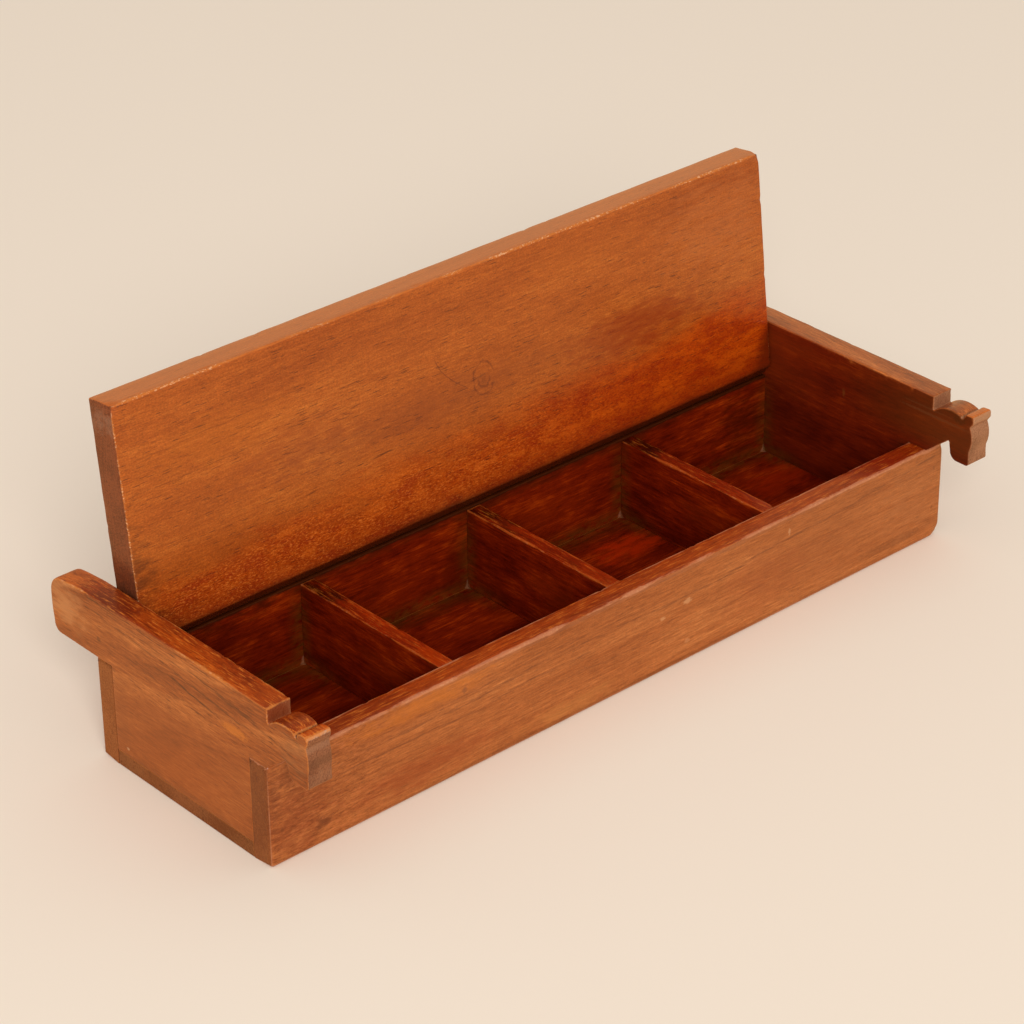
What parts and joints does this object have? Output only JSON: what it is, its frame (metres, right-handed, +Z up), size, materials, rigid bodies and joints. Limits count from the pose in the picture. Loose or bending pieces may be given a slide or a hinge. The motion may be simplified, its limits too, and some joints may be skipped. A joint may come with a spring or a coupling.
{
  "type": "sugar chest",
  "caption": "Small tabletop wooden sugar chest: open bins between end boards whose long carved arms carry a plank lid on hidden pivot pins.",
  "frame": {"origin": "middle of the underside of the case, between its front and back boards and its two ends", "axes": "+X along the box to its right end, -Y out of the front, +Z up"},
  "size_m": [0.32, 0.1382, 0.1305],
  "materials": {
    "lid_wood": "varnished",
    "arm_wood": "varnished",
    "wall_wood": "varnished",
    "bottom_wood": "worn varnish",
    "divider_wood": "worn varnish",
    "pin_steel": "dull",
    "brad_iron": "dark, oxidised"
  },
  "bodies": {
    "case": {"left_end_board": "arm_wood", "right_end_board": "arm_wood", "front_board": "wall_wood", "back_board": "wall_wood", "bottom_board": "bottom_wood", "divider_1": "divider_wood", "divider_2": "divider_wood", "divider_3": "divider_wood", "front_brads": "brad_iron", "back_brads": "brad_iron", "bottom_brads": "brad_iron"},
    "lid": {"lid": "lid_wood", "left_pivot_pin": "pin_steel", "right_pivot_pin": "pin_steel"}
  },
  "joints": [
    {"name": "lid_pivot", "type": "hinge", "parent": "case", "child": "lid", "pos_m": [0, 0.03951, 0.04566], "axis": [1, 0, 0], "range_deg": [0, 96.55]}
  ]
}
